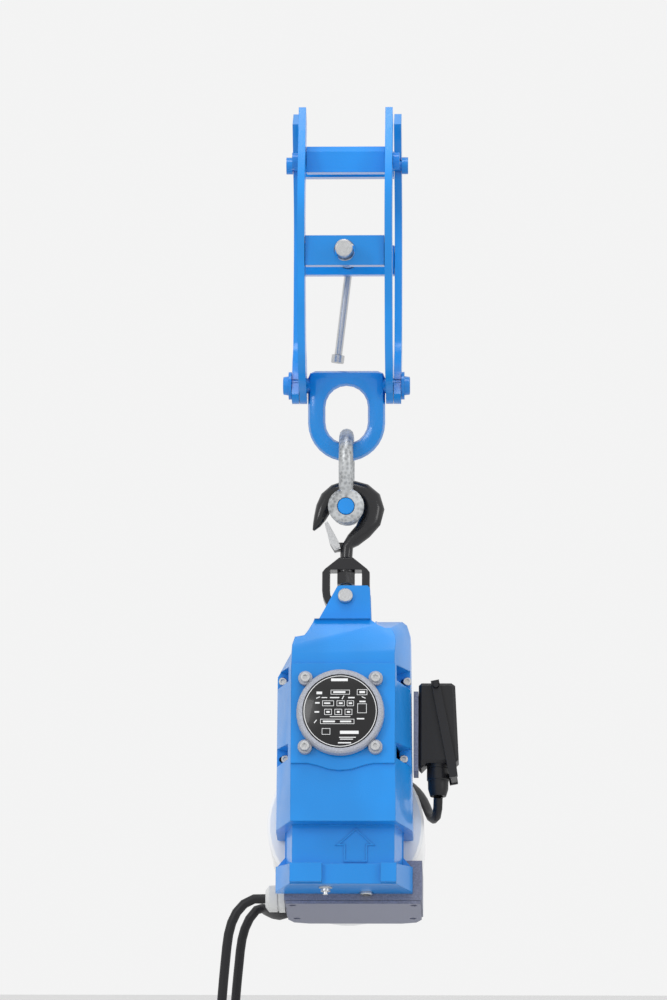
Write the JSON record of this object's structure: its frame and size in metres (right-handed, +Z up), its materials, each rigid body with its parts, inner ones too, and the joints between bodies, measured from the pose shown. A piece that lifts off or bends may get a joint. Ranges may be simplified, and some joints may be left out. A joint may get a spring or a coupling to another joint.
{
  "type": "electric chain hoist",
  "caption": "Compact electric hoist hung from a girder clamp by a shackle and swivel hook, with motor, gear casing, plugged supply and control cables and a push-button pendant.",
  "frame": {"origin": "middle of the girder flange's upper side, between the two jaws, where the clamp takes hold", "axes": "+Z up, -Y towards the front of the hoist, +X to the right seen from the front"},
  "size_m": [0.2741, 0.2842, 1.3024],
  "materials": {
    "blue_paint": "glossy enamel",
    "blue_bolts": "glossy enamel over bolt heads",
    "black_paint": "gloss black enamel",
    "zinc_steel": "bright zinc plate",
    "galvanised": "mottled hot-dip galvanised",
    "inner_steel": "machined steel",
    "blue_casing": "glossy enamel on cast aluminium",
    "grey_casting": "fine-textured casting",
    "white_housing": "semi-gloss white paint",
    "grey_box": "fine-textured grey paint",
    "black_plate": "satin printed plate",
    "white_plastic": "satin moulded",
    "black_plastic": "satin moulded",
    "grey_plastic": "satin moulded",
    "grey_button": "satin moulded",
    "red_button": "satin moulded",
    "black_rubber": "matt cable sheath"
  },
  "bodies": {
    "front_frame": {"front_arm_left": "blue_paint", "front_arm_right": "blue_paint", "front_jaw_bolt": "blue_bolts"},
    "front_jaw": {"front_jaw_bar": "blue_paint"},
    "front_block": {"front_trunnion_block": "blue_paint"},
    "rear_frame": {"rear_arm_left": "blue_paint", "rear_arm_right": "blue_paint", "rear_jaw_bolt": "blue_bolts"},
    "rear_jaw": {"rear_jaw_bar": "blue_paint"},
    "rear_block": {"rear_trunnion_block": "blue_paint"},
    "spindle": {"spindle": "zinc_steel"},
    "tommy_bar": {"tommy_bar": "zinc_steel"},
    "lug": {"lug": "blue_paint", "lug_nut_left": "blue_paint", "lug_nut_right": "blue_paint"},
    "shackle": {"shackle_bow": "galvanised"},
    "shackle_pin": {"shackle_pin": "blue_paint"},
    "hook": {"hook": "black_paint", "latch_pin": "zinc_steel", "hook_nut": "black_paint", "thrust_washer": "black_paint"},
    "latch": {"hook_latch": "zinc_steel"},
    "swivel": {"swivel_eye": "black_paint"},
    "hoist": {"ear_pin": "zinc_steel", "front_casing": "blue_casing", "rear_casing": "blue_casing", "round_cover": "grey_casting", "name_plate": "black_plate", "cover_screw_1": "zinc_steel", "cover_screw_2": "zinc_steel", "cover_screw_3": "zinc_steel", "cover_screw_4": "zinc_steel", "motor_housing": "white_housing", "motor_stator": "inner_steel", "fan_cover": "white_plastic", "upper_rope_bush": "zinc_steel", "lower_rope_bush": "zinc_steel", "terminal_box": "grey_box", "terminal_lid": "grey_box", "cable_gland": "grey_plastic", "connector_base": "grey_box", "connector_hood": "black_plastic", "connector_gland": "black_plastic", "power_cable": "black_rubber", "power_coil": "black_rubber", "mains_plug": "black_plastic", "control_cable": "black_rubber", "control_coil": "black_rubber", "pendant_body": "black_plastic"},
    "rotor": {"motor_rotor": "inner_steel", "motor_fan": "black_plastic", "brake_disc": "inner_steel"},
    "intermediate": {"intermediate_gear": "inner_steel"},
    "sheave": {"drive_sheave": "inner_steel", "drive_gear": "inner_steel"},
    "roller": {"pressure_roller": "inner_steel"},
    "lever": {"locking_lever": "black_plastic"},
    "up": {"up_button": "grey_button"},
    "down": {"down_button": "grey_button"},
    "stop": {"stop_button": "red_button"}
  },
  "joints": [
    {"name": "front_jaw_tilt", "type": "hinge", "parent": "front_frame", "child": "front_jaw", "pos_m": [0, -0.027, 0.0138], "axis": [1, 0, 0], "range_deg": [-8, 8]},
    {"name": "front_block_turn", "type": "hinge", "parent": "front_frame", "child": "front_block", "pos_m": [0, -0.066, -0.0886], "axis": [-1, 0, 0], "range_deg": [-3, 4.5]},
    {"name": "clamp_open", "type": "hinge", "parent": "front_frame", "child": "rear_frame", "pos_m": [0, 0, -0.2318], "axis": [-1, 0, 0], "range_deg": [-4, 7]},
    {"name": "rear_jaw_tilt", "type": "hinge", "parent": "rear_frame", "child": "rear_jaw", "pos_m": [0, 0.027, 0.0138], "axis": [1, 0, 0], "range_deg": [-8, 8]},
    {"name": "rear_block_turn", "type": "hinge", "parent": "rear_frame", "child": "rear_block", "pos_m": [0, 0.066, -0.0886], "axis": [-1, 0, 0], "range_deg": [-4.5, 3]},
    {"name": "spindle_turn", "type": "hinge", "parent": "rear_block", "child": "spindle", "pos_m": [0, 0, -0.0886], "axis": [0, 1, 0], "continuous": true},
    {"name": "tommy_bar_slide", "type": "slide", "parent": "spindle", "child": "tommy_bar", "axis": [0.1219, 0, 0.9925], "range_m": [0, 0.085]},
    {"name": "lug_swing", "type": "hinge", "parent": "front_frame", "child": "lug", "pos_m": [0, 0, -0.2318], "axis": [1, 0, 0], "range_deg": [-60, 60]},
    {"name": "shackle_swing", "type": "hinge", "parent": "lug", "child": "shackle", "pos_m": [0, 0, -0.3053], "axis": [1, 0, 0], "range_deg": [-20, 20]},
    {"name": "side_swing", "type": "hinge", "parent": "shackle", "child": "shackle_pin", "pos_m": [0, 0, -0.36535], "axis": [0, 1, 0], "range_deg": [-35, 35]},
    {"name": "hook_swing", "type": "hinge", "parent": "shackle_pin", "child": "hook", "pos_m": [0, 0, -0.356], "axis": [1, 0, 0], "range_deg": [-6, 20]},
    {"name": "latch_open", "type": "hinge", "parent": "hook", "child": "latch", "pos_m": [-0.0098, -0.01296, -0.40997], "axis": [0, 0.9724, -0.2334], "range_deg": [0, 35], "stiffness_Nm_per_rad": 0.05, "springref_deg": -17.19},
    {"name": "swivel_turn", "type": "hinge", "parent": "hook", "child": "swivel", "pos_m": [0, 0, -0.356], "axis": [0, 0.2334, 0.9724], "continuous": true},
    {"name": "hoist_swing", "type": "hinge", "parent": "swivel", "child": "hoist", "pos_m": [0, -0.02731, -0.46977], "axis": [0, 0.9724, -0.2334], "range_deg": [-12, 12]},
    {"name": "rotor_spin", "type": "hinge", "parent": "hoist", "child": "rotor", "pos_m": [0, -0.08357, -0.70411], "axis": [0, 0.9724, -0.2334], "continuous": true},
    {"name": "intermediate_spin", "type": "hinge", "parent": "hoist", "child": "intermediate", "pos_m": [0.00934, -0.07445, -0.66609], "axis": [0, 0.9724, -0.2334], "continuous": true},
    {"name": "sheave_spin", "type": "hinge", "parent": "hoist", "child": "sheave", "pos_m": [-0.0033, -0.06023, -0.60687], "axis": [0, 0.9724, -0.2334], "continuous": true},
    {"name": "roller_spin", "type": "hinge", "parent": "hoist", "child": "roller", "pos_m": [-0.0465, -0.07031, -0.64888], "axis": [0, 0.9724, -0.2334], "continuous": true},
    {"name": "connector_lever", "type": "hinge", "parent": "hoist", "child": "lever", "pos_m": [0.0985, -0.04926, -0.56117], "axis": [0, -0.9724, 0.2334], "range_deg": [0, 95]},
    {"name": "up_press", "type": "slide", "parent": "hoist", "child": "up", "axis": [0, 1, 0], "range_m": [0, 0.003], "stiffness_N_per_m": 400, "springref_m": -0.002},
    {"name": "down_press", "type": "slide", "parent": "hoist", "child": "down", "axis": [0, 1, 0], "range_m": [0, 0.003], "stiffness_N_per_m": 400, "springref_m": -0.002},
    {"name": "stop_press", "type": "slide", "parent": "hoist", "child": "stop", "axis": [0, 1, 0], "range_m": [0, 0.003], "stiffness_N_per_m": 400, "springref_m": -0.002}
  ],
  "couplings": [
    {"joint": "front_block_turn", "follows": "clamp_open", "ratio": 0.5},
    {"joint": "rear_block_turn", "follows": "clamp_open", "ratio": -0.5},
    {"joint": "intermediate_spin", "follows": "rotor_spin", "ratio": -0.33333},
    {"joint": "sheave_spin", "follows": "rotor_spin", "ratio": 0.08},
    {"joint": "roller_spin", "follows": "rotor_spin", "ratio": -0.296}
  ]
}
